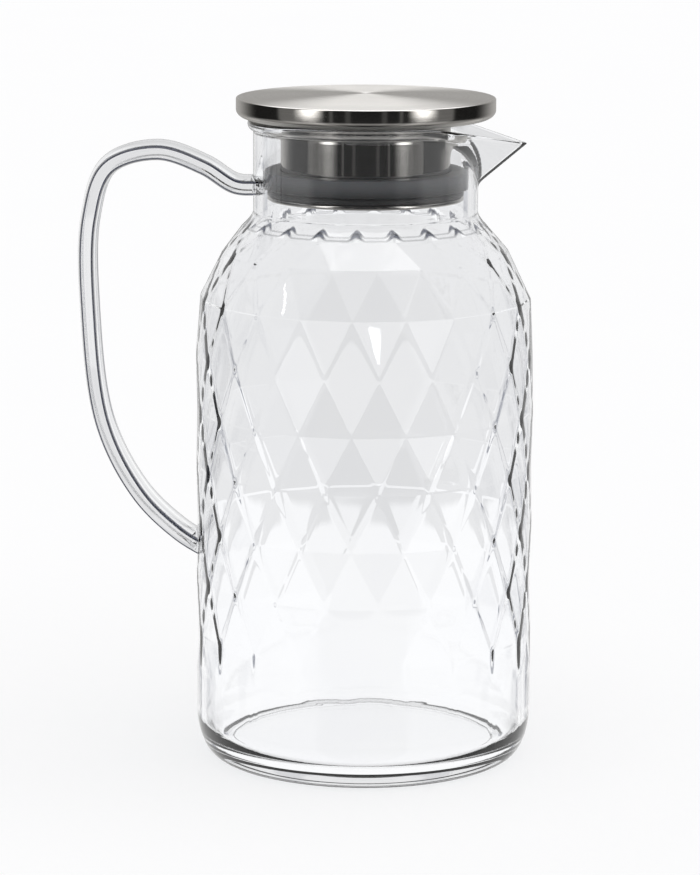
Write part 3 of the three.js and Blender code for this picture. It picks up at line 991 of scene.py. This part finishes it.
def silicone_material():
    """Translucent grey silicone with a satin face and faint moulding specks, with painted shade
    towards its foot and painted light at the top of its upper lip.
    """
    painted_shade_end = (SEAL_TOP - SEAL_UPPER_LIP_HEIGHT - 0.8) * MM
    painted_light_start = (SEAL_TOP - 1.0) * MM
    material, n = new_material("grey_silicone")
    place = n.add("ShaderNodeTexCoord").outputs["Object"]
    cloud = n.noise(place, 120.0, 3.0, 0.5)
    specks = n.noise(place, 1800.0, 2.0, 0.6)
    # Painted light and shade: lighter towards the top of the upper lip, darker below it
    lip = n.ramp(n.split(place)[2], painted_shade_end, painted_light_start)
    shaded_tone = n.mix(n.spread(cloud), *SEAL_PAINTED_SHADE_TONES)
    lit_tone = n.mix(n.spread(cloud), *SEAL_PAINTED_LIGHT_TONES)
    shader = n.add("ShaderNodeBsdfPrincipled")
    n.plug(n.mix(lip, shaded_tone, lit_tone), shader.inputs["Base Color"])
    n.plug(n.spread(specks, 0.42, 0.55), shader.inputs["Roughness"])
    n.plug(1.42, shader.inputs["IOR"])
    n.plug(0.15, shader.inputs["Subsurface Weight"])
    n.plug(0.003, shader.inputs["Subsurface Scale"])
    n.plug(n.bump(specks, 0.06, 0.0003), shader.inputs["Normal"])
    n.surface(shader)
    return material


# What the acrylic's gloss shows: levels, and radii on the table in metres
GLOSS_BRIGHT = 2.1
GLOSS_DIM = 0.4
TABLE_DISC_EDGE = (0.42, 0.44)
TABLE_RING_START = (0.82, 0.85)
TABLE_RING_END = (1.46, 1.52)


def gloss_around(n, front, ahead):
    """Its own pattern ahead, white at the sides and dim straight behind, by degrees from the front."""
    behind = n.ramp(front, 163.0, 172.0, 1.0, GLOSS_DIM)
    return n.ramp(front, 50.0, 64.0, ahead, behind)


def table_gloss(n, x, y):
    """What the acrylic's gloss shows of the table: ahead, a white disc and a bright outer ring."""
    radius = n.radius(x, y)
    disc = n.ramp(radius, *TABLE_DISC_EDGE, 1.0, 0.0)
    outer_ring = n.times(n.ramp(radius, *TABLE_RING_START), n.ramp(radius, *TABLE_RING_END, 1.0, 0.0))
    ahead = n.plus_times(disc, outer_ring, GLOSS_BRIGHT)
    return gloss_around(n, n.math("ABSOLUTE", n.bearing(x, y)), ahead)


def floor_material():
    """White table: takes the object's soft shadow and shows as white to the camera."""
    camera_lift = 0.36
    material, n = new_material("white_table")
    place = n.add("ShaderNodeTexCoord").outputs["Object"]
    x, y, _ = n.split(place)
    path = n.add("ShaderNodeLightPath")
    diffuse = n.add("ShaderNodeBsdfDiffuse")
    n.plug(n.mix(n.noise(place, 6.0), *TABLE_TONES), diffuse.inputs["Color"])
    lift = n.light(n.times(path.outputs["Is Camera Ray"], camera_lift))
    both = n.add("ShaderNodeAddShader")
    n.plug(diffuse.outputs[0], both.inputs[0])
    n.plug(lift.outputs[0], both.inputs[1])
    clear = n.add("ShaderNodeBsdfTransparent")
    sheen = n.light(table_gloss(n, x, y))
    mirrored = n.mix_shaders(path.outputs["Is Singular Ray"], clear, sheen)
    n.surface(n.mix_shaders(path.outputs["Is Glossy Ray"], both, mirrored))
    return material


# What the studio shows, by degrees from the front and degrees of rise
GAPS = ((154.0, 166.0), (126.0, 138.0), (90.0, 100.0))
GAP_SOFTNESS = 3.0
GAP_TONE = (0.2, 0.215, 0.265, 1)
PANEL_TONE = (0.995, 0.998, 1.006, 1)
UPPER_WALL = 0.81
DIM_FRONT = 0.5
STEEL_WARMTH = (1.0, 0.98, 0.95, 1)
STEEL_OVERHEAD = (2.2, 2.2, 2.2, 1)
GLINT_STRENGTH = 9.0
LEFT_GLINT_SLANT = 0.383
SOFT_LIGHT = (0.6, 0.6, 0.605, 1)


def seen_through(n, front, rise):
    """What clear pieces show: white panels, narrow grey gaps, a dimmer upper wall and a dim front."""
    gap = 0.0
    for start, end in GAPS:
        gap = n.math("ADD", n.band(front, start, end, GAP_SOFTNESS), gap)
    above_table = n.ramp(rise, -20.0, -15.5)
    fuller_above = n.ramp(rise, -15.6, -14.6, 0.15, 1.0)
    fainter_at_top = n.ramp(rise, -8.2, -6.8, 1.0, 0.25)
    for share in (above_table, fuller_above, fainter_at_top):
        gap = n.times(gap, share)
    wall = n.ramp(rise, -12.27, -12.09, 1.0, UPPER_WALL)
    level = n.ramp(front, 30.0, 36.0, DIM_FRONT, wall)
    return n.mix(gap, n.mix(level, BLACK, PANEL_TONE), GAP_TONE)


def seen_in_steel(n, front, rise):
    """What steel shows: two soft lights in front, dark sides, a dim wall behind, light above."""
    lights = n.times(n.band(front, 36.0, 68.0, 15.0), n.ramp(rise, -6.2, -5.9, 0.33, 2.6))
    level = n.math("ADD", lights, 0.015)
    beside_lights = n.band(front, 60.0, 86.0, 5.0)
    level = n.plus_times(level, beside_lights, 0.17)
    outer_line = n.band(front, 29.0, 33.0, 1.0)
    level = n.plus_times(level, outer_line, 0.10)
    inner_line = n.band(front, 13.0, 19.0, 1.5)
    level = n.plus_times(level, inner_line, 0.06)
    wall_behind = n.ramp(front, 112.0, 155.0)
    level = n.plus_times(level, wall_behind, 0.45)
    table = n.band(rise, -62.0, -18.0, 14.0)
    level = n.plus_times(level, table, 0.3)
    above_front = n.ramp(rise, 60.0, 75.0)
    above_back = n.ramp(rise, 25.0, 50.0)
    overhead = n.ramp(front, 80.0, 110.0, above_front, above_back)
    return n.mix(overhead, n.mix(level, BLACK, STEEL_WARMTH), STEEL_OVERHEAD)


def seen_in_acrylic(n, side, front, rise):
    """What the acrylic's gloss shows above the table: ahead, bright bands; and two narrow lights."""
    low_band = n.ramp(rise, 8.0, 10.0, GLOSS_BRIGHT, 0.0)
    high_band = n.ramp(rise, 41.0, 43.0)
    top_light = n.ramp(rise, 55.0, 60.0)
    ahead = n.plus_times(n.math("ADD", low_band, high_band), top_light, 3.0)
    right = n.times(n.band(side, 9.21, 9.43, 0.04), n.band(rise, 1.45, 2.2, 0.06))
    slant = n.plus_times(side, rise, LEFT_GLINT_SLANT)
    left = n.times(n.band(slant, -57.99, -57.91, 0.015), n.band(rise, 30.67, 31.24, 0.04))
    level = gloss_around(n, front, ahead)
    level = n.plus_times(level, n.math("ADD", left, right), GLINT_STRENGTH)
    return n.mix(level, BLACK, WHITE)


def studio_world():
    """White studio, with what steel and clear pieces show of it."""
    world = bpy.data.worlds.new("studio")
    bpy.context.scene.world = world
    world.use_nodes = True
    n = Nodes(world.node_tree)
    x, y, z = n.split(n.add("ShaderNodeTexCoord").outputs["Generated"])
    rise = n.times(n.math("ARCSINE", z), DEGREES)
    side = n.bearing(x, y)
    front = n.math("ABSOLUTE", side)
    path = n.add("ShaderNodeLightPath")
    gloss = seen_in_acrylic(n, side, front, rise)
    mirrored = n.mix(path.outputs["Is Singular Ray"], seen_in_steel(n, front, rise), gloss)
    seen = n.mix(path.outputs["Is Glossy Ray"], SOFT_LIGHT, mirrored)
    seen = n.mix(path.outputs["Is Transmission Ray"], seen, seen_through(n, front, rise))
    seen = n.mix(path.outputs["Is Camera Ray"], seen, WHITE)
    background = n.add("ShaderNodeBackground")
    n.plug(seen, background.inputs["Color"])
    n.plug(1.0, background.inputs["Strength"])
    n.surface(background, "ShaderNodeOutputWorld")


# Camera of the photograph, in millimetres and degrees
CAMERA_PLACE = (-5.16, -1302.6, 367.9)
CAMERA_TILT = 11.005
CAMERA_ROLL = 0.2305
FOCAL_PIXELS = 3707.1
IMAGE_WIDTH = 700
IMAGE_HEIGHT = 875

# Table and lamp, in metres
TABLE_HALF_WIDTH = 9.0
TABLE_HEIGHT = -0.0004
LAMP_PLACE = (0.4, -0.4, 1.7)
LAMP_ENERGY = 1.2
LAMP_SPREAD = math.radians(70)


def add_camera():
    data = bpy.data.cameras.new("camera")
    data.sensor_width = 36.0
    data.lens = data.sensor_width * FOCAL_PIXELS / max(IMAGE_WIDTH, IMAGE_HEIGHT)
    data.clip_end = 50.0
    camera = add_object("camera", data)
    tilt = math.radians(CAMERA_TILT)
    roll = math.radians(CAMERA_ROLL)
    ahead = Vector((0, math.cos(tilt), -math.sin(tilt)))
    right = Vector((1, 0, 0))
    up = right.cross(ahead)
    rolled_right = math.cos(roll) * right + math.sin(roll) * up
    rolled_up = math.cos(roll) * up - math.sin(roll) * right
    turn = Matrix((rolled_right, rolled_up, -ahead)).transposed()
    camera.matrix_world = Matrix.Translation(Vector(CAMERA_PLACE) * MM) @ turn.to_4x4()
    bpy.context.scene.camera = camera


def add_floor():
    half = TABLE_HALF_WIDTH
    low = TABLE_HEIGHT
    corners = [(-half, -half, low), (half, -half, low), (half, half, low), (-half, half, low)]
    mesh = bpy.data.meshes.new("table")
    mesh.from_pydata(corners, [], [(0, 1, 2, 3)])
    floor = add_object("table", mesh)
    floor.data.materials.append(floor_material())
    floor.visible_transmission = False


def add_lamp():
    """A broad even light from above, for the soft shadow under the jug."""
    data = bpy.data.lights.new("softbox", "SUN")
    data.energy = LAMP_ENERGY
    data.angle = LAMP_SPREAD
    lamp = add_object("softbox", data)
    lamp.location = LAMP_PLACE
    aim = -lamp.location
    lamp.rotation_euler = aim.to_track_quat("-Z", "Y").to_euler()
    lamp.visible_glossy = False
    lamp.visible_transmission = False


def dress(piece, body, node, material):
    piece.data.materials.append(material)
    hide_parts(node)
    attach(piece, body)


acrylic = acrylic_material()
spun_steel = steel_material(
    "spun_steel", face_roughness=0.34, edge_roughness=0.14, anisotropy=0.9, grain_bump=0.03)
polished_steel = steel_material(
    "polished_steel", face_roughness=0.05, edge_roughness=0.05, anisotropy=0.3, grain_bump=0.001)
silicone = silicone_material()
dress(jug_shell(), "jug", "jug_body", acrylic)
dress(handle_strap(), "jug", "handle", acrylic)
dress(lid_cap(), "lid", "lid_cap", spun_steel)
dress(lid_plate(), "lid", "lid_plate", polished_steel)
dress(lid_collar(), "lid", "lid_collar", polished_steel)
dress(seal_ring(), "seal", "seal_ring", silicone)

studio_world()
add_floor()
add_lamp()
add_camera()

scene = bpy.context.scene
scene.view_settings.view_transform = "Standard"
scene.cycles.max_bounces = 32
scene.cycles.transmission_bounces = 32
scene.cycles.transparent_max_bounces = 32
scene.cycles.caustics_refractive = False
scene.cycles.caustics_reflective = False
